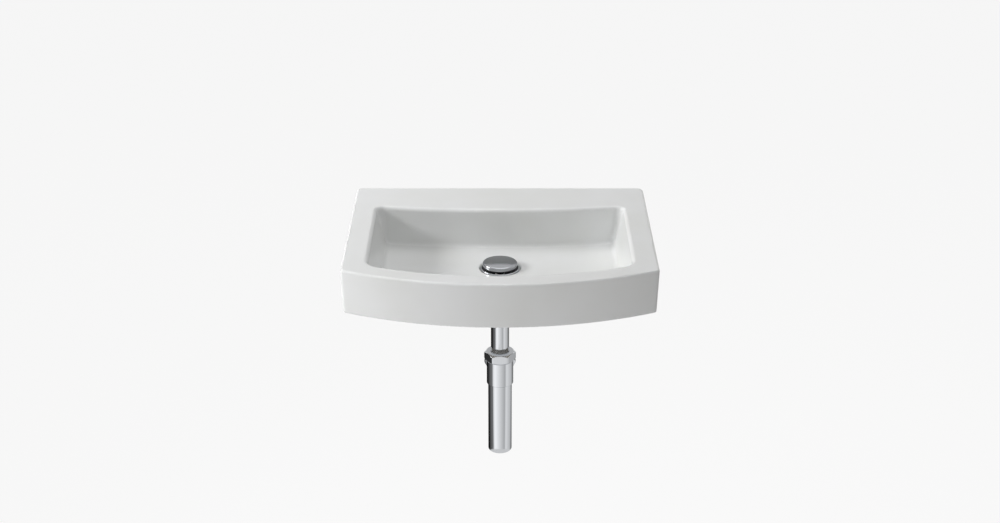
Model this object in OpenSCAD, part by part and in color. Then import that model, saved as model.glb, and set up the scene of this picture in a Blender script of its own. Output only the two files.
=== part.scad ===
// Countertop basin with a push-to-close waste and a slim bottle trap.
// Millimetres, +Z up. The origin is on the drain axis, in the seat plane, which
// is the plane that the foot of the basin stands on. +Y points to the rear wall.

/* [Basin outline] */
// Overall width of the basin
basin_w = 520; // [460:1:600]
// Overall depth, front of the bow to the rear edge
basin_d = 440; // [410:1:500]
// Height of the rim above the seat plane
basin_h = 78; // [66:1:110]
// Radius of the bowed front edge
front_r = 590; // [450:5:1200]
// Plan radius of the two rear corners
rear_corner_r = 12; // [10:1:36]
// Plan radius of the two front corners
front_corner_r = 8; // [7:1:24]
// How much each side and the rear draw in from rim to foot
side_draft = 2.5; // [0:0.5:6]
// How much the front draws in from rim to foot
front_draft = 5; // [0:0.5:8]
// Radius of the outer top edge
rim_edge_r = 4; // [2:0.5:6]
// Radius of the outer edge of the foot
foot_edge_r = 2; // [1:0.5:4]

/* [Bowl] */
// Flat rim width at the sides, to the unrounded edge of the bowl
side_rim_w = 41; // [30:1:56]
// Width of the ledge behind the bowl, at its two ends
rear_ledge_w = 94; // [75:1:115]
// Rim width at the middle of the front
front_rim_w = 39; // [30:0.5:56]
// Radius of the bowl's front edge in plan
bowl_front_r = 560; // [450:5:1400]
// How far the bowl's rear edge bows forward in the middle
bowl_rear_bow = 18; // [0:0.5:24]
// Plan radius of the bowl's rear corners at the rim
bowl_rear_corner_r = 12; // [10:1:28]
// How much smaller that radius is at the floor
bowl_corner_taper = 5; // [0:1:8]
// Plan radius of the bowl's front corners
bowl_front_corner_r = 30; // [14:1:44]
// Radius of the edge where the rim turns down into the bowl
bowl_edge_r = 7; // [3:0.5:9]
// How far each side wall leans in from the rim to the floor
side_wall_lean = 17; // [6:1:28]
// How far the rear wall leans in
rear_wall_lean = 3; // [2:0.5:10]
// How far the front wall leans in
front_wall_lean = 10; // [4:1:20]
// Height of the bowl floor at its walls above the seat plane
floor_z = 9; // [8:0.5:16]
// Fall of the floor from the walls to the drain
floor_fall = 1.5; // [0.5:0.25:2.5]
// Radius between walls and floor
floor_fillet_r = 7; // [4:0.5:20]

/* [Ceramic walls] */
// Thickness of the outer skirt
skirt_t = 9; // [7:0.5:11]
// Thickness of the rim
rim_t = 10; // [8:0.5:14]
// Thickness of the bowl wall
bowl_t = 8; // [6:0.5:11]
// Radius of the corner between skirt and rim, inside the hollow
hollow_corner = 6; // [4:0.5:10]
// Height of the bowl's underside above the seat plane
belly_gap = 1; // [0.5:0.25:1.5]

/* [Drain] */
// Drain axis in front of the rear edge
drain_from_rear = 205; // [190:1:220]
// Radius of the drain hole through the ceramic
drain_hole_r = 23; // [22.5:0.25:25]
// Radius of the recess that the waste flange sits in
recess_r = 35.5; // [35:0.5:38]
// Height of the recess floor, from the seat plane, below zero is lower
recess_seat_z = -0.5; // [-2:0.25:1]
// Radius of the boss that locates the basin in its mounting hole
boss_r = 42; // [40:0.5:48]
// Depth of the boss below the seat plane
boss_drop = 12; // [9:0.5:18]

/* [Waste] */
// Radius of the threaded tail
tail_r = 20.95; // [20:0.05:21.5]
// Bore radius of the tail
tail_bore_r = 18; // [17:0.25:18.5]
// Length of the tail below the seat plane
tail_drop = 62; // [56:1:90]
// Thickness of the seal under the flange
flange_seal_t = 1.5; // [1:0.25:2.5]
// Gap between flange and recess wall
flange_gap = 2.2; // [1:0.1:3]
// Width of the rim of the flange around the dish
flange_rim_w = 2.1; // [1.5:0.1:3]
// Metal under the dish
dish_t = 1.5; // [1.2:0.1:2.5]
// How far the flange stands above the bowl floor at the drain
flange_proud = 0.5; // [0:0.1:1.5]
// Height of the funnel between the dish and the tail
funnel_h = 4.2; // [3.6:0.2:6]
// Height of the cross that carries the cartridge
cross_h = 8; // [5:0.5:12]
// Width of each arm of the cross
cross_arm_w = 4; // [2.5:0.25:6]

/* [Plug and cartridge] */
// Gap between the plug and the wall of the dish
plug_gap = 1.2; // [0.6:0.1:2]
// Height of the domed plug
plug_t = 8.5; // [6:0.1:11]
// Radius of the plug's rounded upper edge
plug_edge_r = 3; // [1:0.5:4]
// Rise of the dome over the whole width of the plug
plug_crown = 1.8; // [0.8:0.1:3]
// Travel of the plug between open and closed
plug_travel = 6.5; // [4:0.5:8]
// Height of the hub under the plug
plug_hub_h = 5; // [4:0.5:7]
// Radius of the hub under the plug
plug_hub_r = 9; // [7:0.5:12]
// Thickness of the rubber disc seal under the plug
plug_seal_t = 2.2; // [1.5:0.1:3]
// How far the seal stays inside the edge of the plug
plug_seal_inset = 1.2; // [0.8:0.1:4]
// Radius of the spindle
spindle_r = 4; // [3:0.25:4.5]
// Outer radius of the cartridge barrel
barrel_r = 8; // [7.5:0.25:9]
// Bore radius of the cartridge barrel
barrel_bore_r = 6.6; // [6:0.1:7]
// Length of the barrel
barrel_l = 35; // [33:0.5:42]
// Wire radius of the return spring
spring_wire_r = 0.45; // [0.3:0.05:0.5]
// Number of turns of the return spring
spring_turns = 7; // [4:1:8]

/* [Clamping under the basin] */
// Thickness of the rubber gasket
gasket_t = 3; // [2:0.25:5]
// Thickness of the slip washer
washer_t = 1.5; // [1:0.25:3]
// Height of the backnut
backnut_h = 10; // [7:0.5:14]
// Width of the backnut across its flats
backnut_af = 56; // [52:1:62]

/* [Trap] */
// Outer radius of the inlet and outlet tubes
tube_r = 16; // [15:0.25:17]
// Wall of the brass tubes
tube_t = 1.2; // [0.8:0.1:1.6]
// Outer radius of the trap cup, the long tube that hangs lowest
cup_r = 21; // [20:0.25:24]
// Bottom of the cup below the seat plane
cup_bottom_drop = 348; // [310:1:400]
// Radius of the rounded lower edge of the cup
cup_edge_r = 3; // [1.5:0.5:6]
// Outlet axis below the seat plane
outlet_drop = 190; // [170:1:215]
// Outer radius of the trap head
head_r = 23.5; // [22.5:0.25:26]
// Outer radius of the dip tube inside the cup
dip_r = 13.2; // [11:0.2:14.5]
// Depth of the water seal, outlet invert to the end of the dip tube
seal_depth = 110; // [50:1:120]
// Width of the trap nuts across their flats
nut_af = 49; // [48:1:56]
// Thickness of the union washer
union_washer_t = 2.5; // [1.5:0.25:4]

/* [Outlet] */
// Wall face behind the drain axis
wall_y = 297; // [235:1:450]
// Length of the outlet pipe that enters the wall
wall_insert = 30; // [20:1:60]
// Radius of the rosette on the wall
rosette_r = 36; // [32:1:45]
// Height of the rosette
rosette_h = 13; // [8:1:20]

/* [Hidden] */

// Smoothness of turned parts and of the arcs in the plan outlines
fine = 96;
front_steps = 22;
rear_steps = 8;
corner_steps = 7;
edge_steps = 4;
// Radial clearance between threaded parts
thread_gap = 0.05;
// Radial clearance of the spindle and the rotor
run_gap = 0.06;
// Clearance around a part that is slid or dropped into its place
slip_gap = 0.2;
// Radial clearance of the rings that drop over a tube or over the tail
ring_gap = 0.3;
// Face gap between pieces that move against each other
move_gap = 0.3;
// Radial clearance of the crown and the spring inside the barrel
barrel_gap = 0.4;
// Radial clearance of the waste in the drain hole of the ceramic
spigot_gap = 0.6;
// Cuts reach this far past the surface that they open
over = 1;

// Plan positions of the basin, from the drain axis
rear_y = drain_from_rear;
front_y = rear_y - basin_d;
bowl_hw = basin_w / 2 - side_rim_w;
bowl_rear_y = rear_y - rear_ledge_w;
bowl_front_y = front_y + front_rim_w;
drain_floor_z = floor_z - floor_fall;
// Size of the small level outline that the floor falls to, as a share of the floor
floor_centre = 0.08;

// Heights of the waste
funnel_edge_w = 0.4;
flange_under_z = recess_seat_z + flange_seal_t;
flange_top_z = drain_floor_z + flange_proud;
flange_r = recess_r - flange_gap;
dish_r = flange_r - flange_rim_w;
dish_z = flange_under_z + dish_t;
spigot_r = drain_hole_r - spigot_gap;
funnel_r = spigot_r - funnel_edge_w;
tail_end_z = -tail_drop;
boss_z = -boss_drop;

// Heights of the plug, open, and of its cartridge
cap_r = dish_r - plug_gap;
plug_seal_r = cap_r - plug_seal_inset;
cap_z = dish_z + slip_gap + plug_travel + plug_seal_t;
hub_z = cap_z - plug_hub_h;
hub_socket_h = plug_hub_h + 1.5;
collar_top_z = hub_z - plug_travel - 2 * move_gap;
collar_flange_t = 1.2;
collar_spigot = 5;
barrel_top_z = collar_top_z - collar_flange_t;
barrel_bottom_z = barrel_top_z - barrel_l;
barrel_base_t = 3;
barrel_shoulder_t = 2;
barrel_shoulder_w = 2.5;
cross_top_z = barrel_bottom_z + cross_h;
cross_hub_t = 3.5;
cross_hub_r = barrel_r + cross_hub_t;
crown_top_z = barrel_top_z - collar_spigot - move_gap;
crown_t = 3.5;
crown_r = barrel_bore_r - barrel_gap;
pin_top_z = crown_top_z - crown_t;
spindle_pin_r = spindle_r / 2;
spindle_pin_l = 6.8;
rotor_tooth_h = 0.8;
rotor_wall = 1.2;
rotor_base_t = 1;
rotor_top_z = pin_top_z - move_gap;
rotor_flange_t = 3;
rotor_stub_r = spindle_pin_r + rotor_wall;
rotor_flange_z = rotor_top_z - rotor_tooth_h - rotor_flange_t;
rotor_bottom_z = pin_top_z - spindle_pin_l - move_gap - rotor_base_t;
spring_top_z = rotor_flange_z - slip_gap;
spring_bottom_z = barrel_bottom_z + barrel_base_t + slip_gap;
spring_r = (rotor_stub_r + barrel_bore_r) / 2;

// Heights under the basin
gasket_step = 9;
gasket_r = boss_r - gasket_step;
gasket_z = boss_z - gasket_t;
gasket_bevel = 1.5;
washer_z = gasket_z - washer_t;
backnut_z = washer_z - backnut_h;

// Heights of the trap
nut_lip_t = 3;
collar_t = 2.5;
collar_r = tail_r - ring_gap;
union_washer_z = tail_end_z - union_washer_t;
collar_z = union_washer_z - collar_t;
union_nut_bottom_z = collar_z - nut_lip_t;
union_grip = 14;
outlet_z = -outlet_drop;
joint_r = cup_r;
mouth_depth = 3;
mouth_w = 2.9;
seal_rise = 1.5;
slip_ring_t = 1.5;
joint_nut_h = 16;
neck_l = 10;
shoulder_above_outlet = 1;
head_top_z = outlet_z + joint_r + shoulder_above_outlet + neck_l;
socket_depth = 14;
ledge_z = head_top_z - socket_depth;
ledge_t = 3;
head_below_outlet = 3;
head_bottom_z = outlet_z - joint_r - head_below_outlet;
cup_thread_l = 9;
cup_seal_t = 2;
cup_wall = 1.2;
cup_base_t = 2;
cup_bore_r = cup_r - cup_wall;
cup_top_z = head_bottom_z + cup_thread_l - cup_seal_t;
cup_bottom_z = -cup_bottom_drop;
tube_bore_r = tube_r - tube_t;
dip_wall = 1.2;
dip_flange_t = 1.8;
dip_end_z = outlet_z - tube_bore_r - seal_depth;
inlet_end_z = ledge_z + dip_flange_t + slip_gap;

// Outlet run along +Y
boss_reach = 17;
boss_socket_l = 12;
boss_l = head_r + boss_reach;
port_y = boss_l - boss_socket_l;
pipe_start_y = port_y + slip_gap;
pipe_end_y = wall_y + wall_insert;
mark_w = 2;
mark_depth = 0.3;
pipe_chamfer = 1;

// Colours of the real materials
glaze = "#f4f4f2";
chrome_metal = "#c9cbcd";
raw_brass = "#c9a44c";
black_rubber = "#26262a";
white_plastic = "#ececea";
steel_wire = "#9a9ca0";

// Points of an arc about c, from angle a to angle b, in n steps
function arc(c, r, a, b, n) =
    [for (k = [0:n]) let (t = a + (b - a) * k / n) [c[0] + r * cos(t), c[1] + r * sin(t)]];

// Outline with straight sides and a bowed front, clockwise from above. The rear is at yr
// where the sides would meet it, and comes forward by sag in the middle. Its corners run
// smoothly into that curve.
function plan(hw, yr, yf, bow, rr, rf, sag = 0) =
    let (
        cy = yf + bow,
        fx = hw - rf,
        fy = cy - sqrt(pow(bow - rf, 2) - fx * fx),
        phi = atan2(fy - cy, fx),
        rx = hw - rr,
        turn = atan(2 * sag * rx / (hw * hw)),
        end_x = rx - rr * sin(turn),
        parts = sag > 0 ? rear_steps : 1,
        rear = [
            for (k = [0:parts])
                let (x = end_x * (2 * k / parts - 1)) [x, yr - sag * (1 - pow(x / hw, 2))]
        ],
        right = concat(
            arc([rx, rear[0][1] - rr * cos(turn)], rr, 90 + turn, 0, corner_steps),
            arc([fx, fy], rf, 0, phi, corner_steps)
        ),
        bowed = arc([0, cy], bow, phi, -180 - phi, front_steps),
        last = len(right) - 1
    )
    concat(
        right,
        [for (k = [1:front_steps - 1]) bowed[k]],
        [for (k = [last:-1:0]) [-right[k][0], right[k][1]]],
        [for (k = [1:1:parts - 1]) rear[k]]
    );

// Outline of the outer skirt at height z, drawn in by i all round
function skirt_plan(z, i) =
    let (t = 1 - z / basin_h, s = i + side_draft * t, f = i + front_draft * t)
    plan(
        basin_w / 2 - s, rear_y - s, front_y + f, front_r - f,
        max(rear_corner_r - i, 1), max(front_corner_r - i, 1)
    );

// Outline of the bowl's inner wall at height z, drawn in by i all round
function bowl_plan(z, i) =
    let (t = min((basin_h - z) / (basin_h - floor_z), 1))
    plan(
        bowl_hw - side_wall_lean * t - i,
        bowl_rear_y - rear_wall_lean * t - i,
        bowl_front_y + front_wall_lean * t + i,
        bowl_front_r - front_wall_lean * t - i,
        max(bowl_rear_corner_r - bowl_corner_taper * t - i, 1),
        max(bowl_front_corner_r - i, 1),
        bowl_rear_bow
    );

// A closed solid through a list of [height, outline], lowest first
module loft(sections) {
    n = len(sections[0][1]);
    top = len(sections) - 1;
    points = [for (s = sections) for (p = s[1]) [p[0], p[1], s[0]]];
    sides = [
        for (s = [0:top - 1]) for (k = [0:n - 1])
            let (a = s * n + k, b = s * n + (k + 1) % n)
            each [[a, b, b + n], [a, b + n, a + n]]
    ];
    base = [for (k = [n - 1:-1:0]) k];
    lid = [for (k = [0:n - 1]) top * n + k];
    polyhedron(points = points, faces = concat(sides, [base, lid]), convexity = 6);
}

// Outer form: foot edge, drafted skirt and rounded rim edge
function skirt_sections() = concat(
    [for (k = [0:edge_steps])
        let (a = 90 * k / edge_steps, z = foot_edge_r * (1 - cos(a)))
        [z, skirt_plan(z, foot_edge_r * (1 - sin(a)))]],
    [for (k = [0:edge_steps])
        let (a = 90 * k / edge_steps, z = basin_h - rim_edge_r + rim_edge_r * sin(a))
        [z, skirt_plan(z, rim_edge_r * (1 - cos(a)))]]
);

// Hollow under the rim, open below, its upper corner rounded in two steps
function hollow_sections() =
    let (roof_z = basin_h - rim_t, r = hollow_corner)
    concat(
        [[-over, skirt_plan(0, skirt_t)]],
        [for (a = [0:45:90])
            let (z = roof_z - r * (1 - sin(a)))
            [z, skirt_plan(z, skirt_t + r * (1 - cos(a)))]]
    );

// Inside of the bowl: floor, fillet, leaning walls and the rolled edge at the rim
function bowl_sections() = concat(
    [[drain_floor_z, [for (p = bowl_plan(floor_z, floor_fillet_r)) p * floor_centre]]],
    [for (k = [0:edge_steps + 1])
        let (a = 90 * k / (edge_steps + 1), z = floor_z + floor_fillet_r * (1 - cos(a)))
        [z, bowl_plan(z, floor_fillet_r * (1 - sin(a)))]],
    [for (k = [0:edge_steps])
        let (a = 90 * k / edge_steps)
        [basin_h - bowl_edge_r + bowl_edge_r * sin(a),
            bowl_plan(basin_h - bowl_edge_r, -bowl_edge_r * (1 - cos(a)))]],
    [[basin_h + over, bowl_plan(basin_h - bowl_edge_r, -bowl_edge_r - over)]]
);

// Outside of the bowl under the rim
function belly_sections() = concat(
    [for (k = [0:edge_steps + 1])
        let (
            a = 90 * k / (edge_steps + 1),
            z = belly_gap + (floor_z + floor_fillet_r - belly_gap) * (1 - cos(a))
        )
        [z, bowl_plan(z, floor_fillet_r - (floor_fillet_r + bowl_t) * sin(a))]],
    [[basin_h - rim_t / 2, bowl_plan(basin_h - rim_t / 2, -bowl_t)]]
);

// Recess and through hole of the drain, as one turned cut that flares at the floor
module drain_cut() {
    flare = 2.5;
    flare_top_z = drain_floor_z + 0.3;
    rotate_extrude($fn = fine)
        polygon(concat(
            [[0, boss_z - over], [drain_hole_r, boss_z - over],
             [drain_hole_r, recess_seat_z], [recess_r, recess_seat_z]],
            [for (a = [0:30:90])
                [recess_r + flare * (1 - cos(a)), flare_top_z - flare * (1 - sin(a))]],
            [[recess_r + flare + over, floor_z + over], [0, floor_z + over]]
        ));
}

// Boss around the drain hole, with a chamfered lower edge
module drain_boss() {
    chamfer = 1.5;
    rotate_extrude($fn = fine)
        polygon([
            [0, boss_z], [boss_r - chamfer, boss_z], [boss_r, boss_z + chamfer],
            [boss_r, belly_gap + over], [0, belly_gap + over],
        ]);
}

module basin_body() {
    color(glaze)
    difference() {
        union() {
            difference() {
                loft(skirt_sections());
                loft(hollow_sections());
            }
            loft(belly_sections());
            drain_boss();
        }
        loft(bowl_sections());
        drain_cut();
    }
}

// A turned ring between two radii and two heights
module ring(r_out, r_in, z0, z1) {
    rotate_extrude($fn = fine) translate([r_in, z0]) square([r_out - r_in, z1 - z0]);
}

module flange_seal() {
    inset = 0.8;
    color(black_rubber)
        ring(flange_r - inset, drain_hole_r + inset, recess_seat_z, flange_under_z);
}

// Dish flange, funnel and threaded tail of the waste, turned in one piece
module waste_shell() {
    chamfer = 0.6;
    dish_bevel = 1;
    spigot_taper_h = (spigot_r - tail_r) * 2;
    rotate_extrude($fn = fine)
        polygon([
            [flange_r - chamfer, flange_top_z], [flange_r, flange_top_z - chamfer],
            [flange_r, flange_under_z], [spigot_r, flange_under_z],
            [tail_r, flange_under_z - spigot_taper_h], [tail_r, tail_end_z + chamfer],
            [tail_r - chamfer, tail_end_z], [tail_bore_r, tail_end_z],
            [tail_bore_r, dish_z - funnel_h], [funnel_r, dish_z],
            [dish_r - dish_bevel, dish_z], [dish_r, dish_z + dish_bevel],
            [dish_r, flange_top_z - chamfer], [dish_r + chamfer, flange_top_z],
        ]);
}

// Cross inside the tail with a threaded hub for the cartridge
module waste_cross() {
    arm_root = 1;
    arm_end = tail_bore_r + 0.6;
    arm_drop = 2;
    difference() {
        union() {
            translate([0, 0, barrel_bottom_z]) cylinder(h = cross_h, r = cross_hub_r, $fn = fine);
            for (a = [0:90:270]) rotate(a)
                translate([cross_hub_r - arm_root, -cross_arm_w / 2, barrel_bottom_z])
                    cube([arm_end - cross_hub_r + arm_root, cross_arm_w, cross_h - arm_drop]);
        }
        translate([0, 0, barrel_bottom_z - over])
            cylinder(h = cross_h + 2 * over, r = barrel_r + thread_gap, $fn = fine);
    }
}

module waste_body() {
    color(chrome_metal) {
        waste_shell();
        waste_cross();
    }
}

module underside_gasket() {
    r_in = tail_r + ring_gap;
    color(black_rubber)
    rotate_extrude($fn = fine)
        polygon([
            [r_in, boss_z], [gasket_r, boss_z], [gasket_r, boss_z - gasket_t / 2],
            [gasket_r - gasket_bevel, gasket_z], [r_in, gasket_z],
        ]);
}

module slip_washer() {
    color(white_plastic) ring(gasket_r - gasket_bevel, tail_r + ring_gap, washer_z, gasket_z);
}

// Hexagon nut blank between z0 and z1, both ends chamfered at 30 degrees
module hex_blank(af, z0, z1) {
    corner_r = af / sqrt(3);
    face_r = af / 2 - 0.5;
    cone_r = corner_r + 0.4;
    drop = (cone_r - face_r) * tan(30);
    intersection() {
        translate([0, 0, z0]) linear_extrude(z1 - z0) circle(r = corner_r, $fn = 6);
        rotate_extrude($fn = fine)
            polygon([
                [0, z0], [face_r, z0], [cone_r, z0 + drop], [cone_r, z1 - drop],
                [face_r, z1], [0, z1],
            ]);
    }
}

module backnut() {
    color(raw_brass)
    difference() {
        hex_blank(backnut_af, backnut_z, washer_z);
        translate([0, 0, backnut_z - over])
            cylinder(h = backnut_h + 2 * over, r = tail_r + thread_gap, $fn = fine);
    }
}

module plug_cap() {
    chamfer = 0.65;
    round_steps = 5;
    dome_steps = 9;
    dome_r = (cap_r * cap_r + plug_crown * plug_crown) / (2 * plug_crown);
    dome_centre_z = cap_z + plug_t - dome_r;
    round_x = cap_r - plug_edge_r;
    round_z = dome_centre_z + sqrt(pow(dome_r - plug_edge_r, 2) - round_x * round_x);
    join = atan2(round_x, round_z - dome_centre_z);
    color(chrome_metal)
    rotate_extrude($fn = fine)
        polygon(concat(
            [[spindle_r, hub_z], [plug_hub_r, hub_z], [plug_hub_r, cap_z],
             [cap_r - chamfer, cap_z], [cap_r, cap_z + chamfer]],
            arc([round_x, round_z], plug_edge_r, 0, 90 - join, round_steps),
            [for (k = [1:dome_steps])
                let (a = join * (1 - k / dome_steps))
                [dome_r * sin(a), dome_centre_z + dome_r * cos(a)]],
            [[0, hub_z + hub_socket_h], [spindle_r, hub_z + hub_socket_h]]
        ));
}

// Rubber disc under the plug that closes on the floor of the dish
module plug_seal() {
    bevel = 0.4;
    color(black_rubber)
    rotate_extrude($fn = fine)
        polygon([
            [plug_hub_r, cap_z - plug_seal_t], [plug_seal_r - bevel, cap_z - plug_seal_t],
            [plug_seal_r, cap_z - plug_seal_t + bevel], [plug_seal_r, cap_z],
            [plug_hub_r, cap_z],
        ]);
}

module plug_spindle() {
    color(raw_brass)
    rotate_extrude($fn = fine)
        polygon([
            [0, hub_z + hub_socket_h], [spindle_r, hub_z + hub_socket_h],
            [spindle_r, crown_top_z], [crown_r, crown_top_z], [crown_r, pin_top_z],
            [spindle_pin_r, pin_top_z], [spindle_pin_r, pin_top_z - spindle_pin_l],
            [0, pin_top_z - spindle_pin_l],
        ]);
}

module cartridge_barrel() {
    drip_r = 1.5;
    color(white_plastic)
    rotate_extrude($fn = fine)
        polygon([
            [drip_r, barrel_bottom_z], [barrel_r, barrel_bottom_z], [barrel_r, cross_top_z],
            [barrel_r + barrel_shoulder_w, cross_top_z],
            [barrel_r + barrel_shoulder_w, cross_top_z + barrel_shoulder_t],
            [barrel_r, cross_top_z + barrel_shoulder_t], [barrel_r, barrel_top_z],
            [barrel_bore_r, barrel_top_z], [barrel_bore_r, barrel_bottom_z + barrel_base_t],
            [drip_r, barrel_bottom_z + barrel_base_t],
        ]);
}

module cartridge_collar() {
    color(chrome_metal)
    rotate_extrude($fn = fine)
        polygon([
            [spindle_r + run_gap, barrel_top_z - collar_spigot],
            [barrel_bore_r - thread_gap, barrel_top_z - collar_spigot],
            [barrel_bore_r - thread_gap, barrel_top_z], [barrel_r, barrel_top_z],
            [barrel_r, collar_top_z], [spindle_r + run_gap, collar_top_z],
        ]);
}

// Latch rotor: a flange with eight teeth above and a stub that centres the spring
module cartridge_rotor() {
    teeth = 8;
    tooth_w = 1.4;
    tooth_root = 0.5;
    tooth_in_r = rotor_stub_r + 0.3;
    tooth_out_r = crown_r - 0.4;
    color(white_plastic)
    difference() {
        union() {
            translate([0, 0, rotor_flange_z])
                cylinder(h = rotor_flange_t, r = crown_r, $fn = fine);
            translate([0, 0, rotor_bottom_z])
                cylinder(h = rotor_flange_z - rotor_bottom_z + over, r = rotor_stub_r, $fn = fine);
            for (k = [0:teeth - 1]) rotate(k * 360 / teeth)
                translate([tooth_in_r, -tooth_w / 2, rotor_flange_z + rotor_flange_t - tooth_root])
                    cube([tooth_out_r - tooth_in_r, tooth_w, rotor_tooth_h + tooth_root]);
        }
        translate([0, 0, rotor_bottom_z + rotor_base_t])
            cylinder(h = rotor_top_z - rotor_bottom_z, r = spindle_pin_r + run_gap, $fn = fine);
    }
}

// Round wire along a helix, as rings of six points joined in order
module cartridge_spring() {
    ring_n = 6;
    per_turn = 16;
    steps = spring_turns * per_turn;
    rise = spring_top_z - spring_bottom_z - 2 * spring_wire_r;
    slope = atan2(rise, 360 * spring_turns * spring_r * PI / 180);
    points = [
        for (k = [0:steps]) for (j = [0:ring_n - 1])
            let (
                t = 360 * spring_turns * k / steps,
                b = 360 * j / ring_n,
                u = spring_wire_r * cos(b),
                v = spring_wire_r * sin(b)
            )
            [
                (spring_r + u) * cos(t) + v * sin(slope) * sin(t),
                (spring_r + u) * sin(t) - v * sin(slope) * cos(t),
                spring_bottom_z + spring_wire_r + rise * k / steps + v * cos(slope),
            ]
    ];
    sides = [
        for (k = [0:steps - 1]) for (j = [0:ring_n - 1])
            let (a = k * ring_n + j, b = k * ring_n + (j + 1) % ring_n)
            each [[a, b, b + ring_n], [a, b + ring_n, a + ring_n]]
    ];
    start = [for (j = [ring_n - 1:-1:0]) j];
    finish = [for (j = [0:ring_n - 1]) steps * ring_n + j];
    color(steel_wire)
        polyhedron(points = points, faces = concat(sides, [start, finish]), convexity = 10);
}

module union_washer() {
    color(black_rubber) ring(collar_r, tube_bore_r + ring_gap, union_washer_z, tail_end_z);
}

module union_nut() {
    top_z = tail_end_z + union_grip;
    color(chrome_metal)
    difference() {
        hex_blank(nut_af, union_nut_bottom_z, top_z);
        translate([0, 0, collar_z])
            cylinder(h = top_z - collar_z + over, r = tail_r + thread_gap, $fn = fine);
        translate([0, 0, union_nut_bottom_z - over])
            cylinder(h = nut_lip_t + 2 * over, r = tube_r + slip_gap, $fn = fine);
    }
}

// Vertical tube with a flared collar at its top
module inlet_tube() {
    color(chrome_metal)
    rotate_extrude($fn = fine)
        polygon([
            [tube_bore_r, inlet_end_z], [tube_r, inlet_end_z], [tube_r, collar_z],
            [collar_r, collar_z], [collar_r, union_washer_z], [tube_bore_r, union_washer_z],
        ]);
}

// Parts of one compression joint, on +Z, with its mouth face at height 0
module joint_seal() {
    seal_r = tube_r + mouth_w - slip_gap / 2;
    seal_bevel = 1.1;
    rotate_extrude($fn = fine)
        polygon([
            [tube_r, -mouth_depth], [seal_r, -mouth_depth], [seal_r, 0],
            [seal_r - seal_bevel, seal_rise], [tube_r, seal_rise],
        ]);
}

module joint_slip_ring() {
    ring(joint_r - slip_gap, tube_r + slip_gap, seal_rise, seal_rise + slip_ring_t);
}

module joint_nut() {
    lip_z = seal_rise + slip_ring_t;
    difference() {
        hex_blank(nut_af, lip_z + nut_lip_t - joint_nut_h, lip_z + nut_lip_t);
        translate([0, 0, lip_z - joint_nut_h])
            cylinder(h = joint_nut_h, r = joint_r + thread_gap, $fn = fine);
        translate([0, 0, lip_z - over])
            cylinder(h = nut_lip_t + 2 * over, r = tube_r + slip_gap, $fn = fine);
    }
}

// Places a joint at the top of the trap head
module at_head() {
    translate([0, 0, head_top_z]) children();
}

// Turns +Z to point along the outlet, and starts at y behind the drain axis
module along_outlet(y) {
    translate([0, y, outlet_z]) rotate([-90, 0, 0]) children();
}

module head_nut() {
    color(chrome_metal) at_head() joint_nut();
}

module head_slip_ring() {
    color(white_plastic) at_head() joint_slip_ring();
}

module head_seal() {
    color(black_rubber) at_head() joint_seal();
}

module outlet_nut() {
    color(chrome_metal) along_outlet(boss_l) joint_nut();
}

module outlet_slip_ring() {
    color(white_plastic) along_outlet(boss_l) joint_slip_ring();
}

module outlet_seal() {
    color(black_rubber) along_outlet(boss_l) joint_seal();
}

// Outer form of the trap head: body, threaded neck and outlet boss
module head_form() {
    chamfer = 1.2;
    neck_z = head_top_z - neck_l;
    rotate_extrude($fn = fine)
        polygon([
            [0, head_bottom_z], [head_r - chamfer, head_bottom_z],
            [head_r, head_bottom_z + chamfer], [head_r, neck_z - chamfer],
            [head_r - chamfer, neck_z], [joint_r, neck_z], [joint_r, head_top_z],
            [0, head_top_z],
        ]);
    along_outlet(0) cylinder(h = boss_l, r = joint_r, $fn = fine);
}

module trap_head() {
    chamber_top_z = ledge_z - ledge_t;
    port_start_y = cup_bore_r - 4;
    color(chrome_metal)
    difference() {
        head_form();
        // socket of the inlet tube and its mouth
        translate([0, 0, ledge_z])
            cylinder(h = head_top_z - ledge_z + over, r = tube_r + slip_gap / 2, $fn = fine);
        translate([0, 0, head_top_z - mouth_depth])
            cylinder(h = mouth_depth + over, r = tube_r + mouth_w, $fn = fine);
        // ledge that the dip tube hangs on, and the chamber below it
        translate([0, 0, chamber_top_z - over])
            cylinder(h = ledge_t + 2 * over, r = dip_r + slip_gap, $fn = fine);
        translate([0, 0, head_bottom_z - over])
            cylinder(h = chamber_top_z - head_bottom_z + over, r = cup_bore_r, $fn = fine);
        translate([0, 0, head_bottom_z - over])
            cylinder(h = cup_thread_l + over, r = cup_r + thread_gap, $fn = fine);
        // outlet port, pipe socket and its mouth
        along_outlet(port_start_y) cylinder(h = boss_l, r = tube_bore_r, $fn = fine);
        along_outlet(port_y) cylinder(h = boss_l, r = tube_r + slip_gap / 2, $fn = fine);
        along_outlet(boss_l - mouth_depth) cylinder(h = boss_l, r = tube_r + mouth_w, $fn = fine);
    }
}

module dip_tube() {
    bore_r = dip_r - dip_wall;
    flange_top = ledge_z + dip_flange_t;
    color(white_plastic)
    rotate_extrude($fn = fine)
        polygon([
            [bore_r, dip_end_z], [dip_r, dip_end_z], [dip_r, ledge_z],
            [tube_r - slip_gap, ledge_z], [tube_r - slip_gap, flange_top], [bore_r, flange_top],
        ]);
}

module cup_seal() {
    inset = 0.1;
    color(black_rubber)
        ring(cup_r - inset, cup_bore_r + inset, cup_top_z, cup_top_z + cup_seal_t);
}

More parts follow.
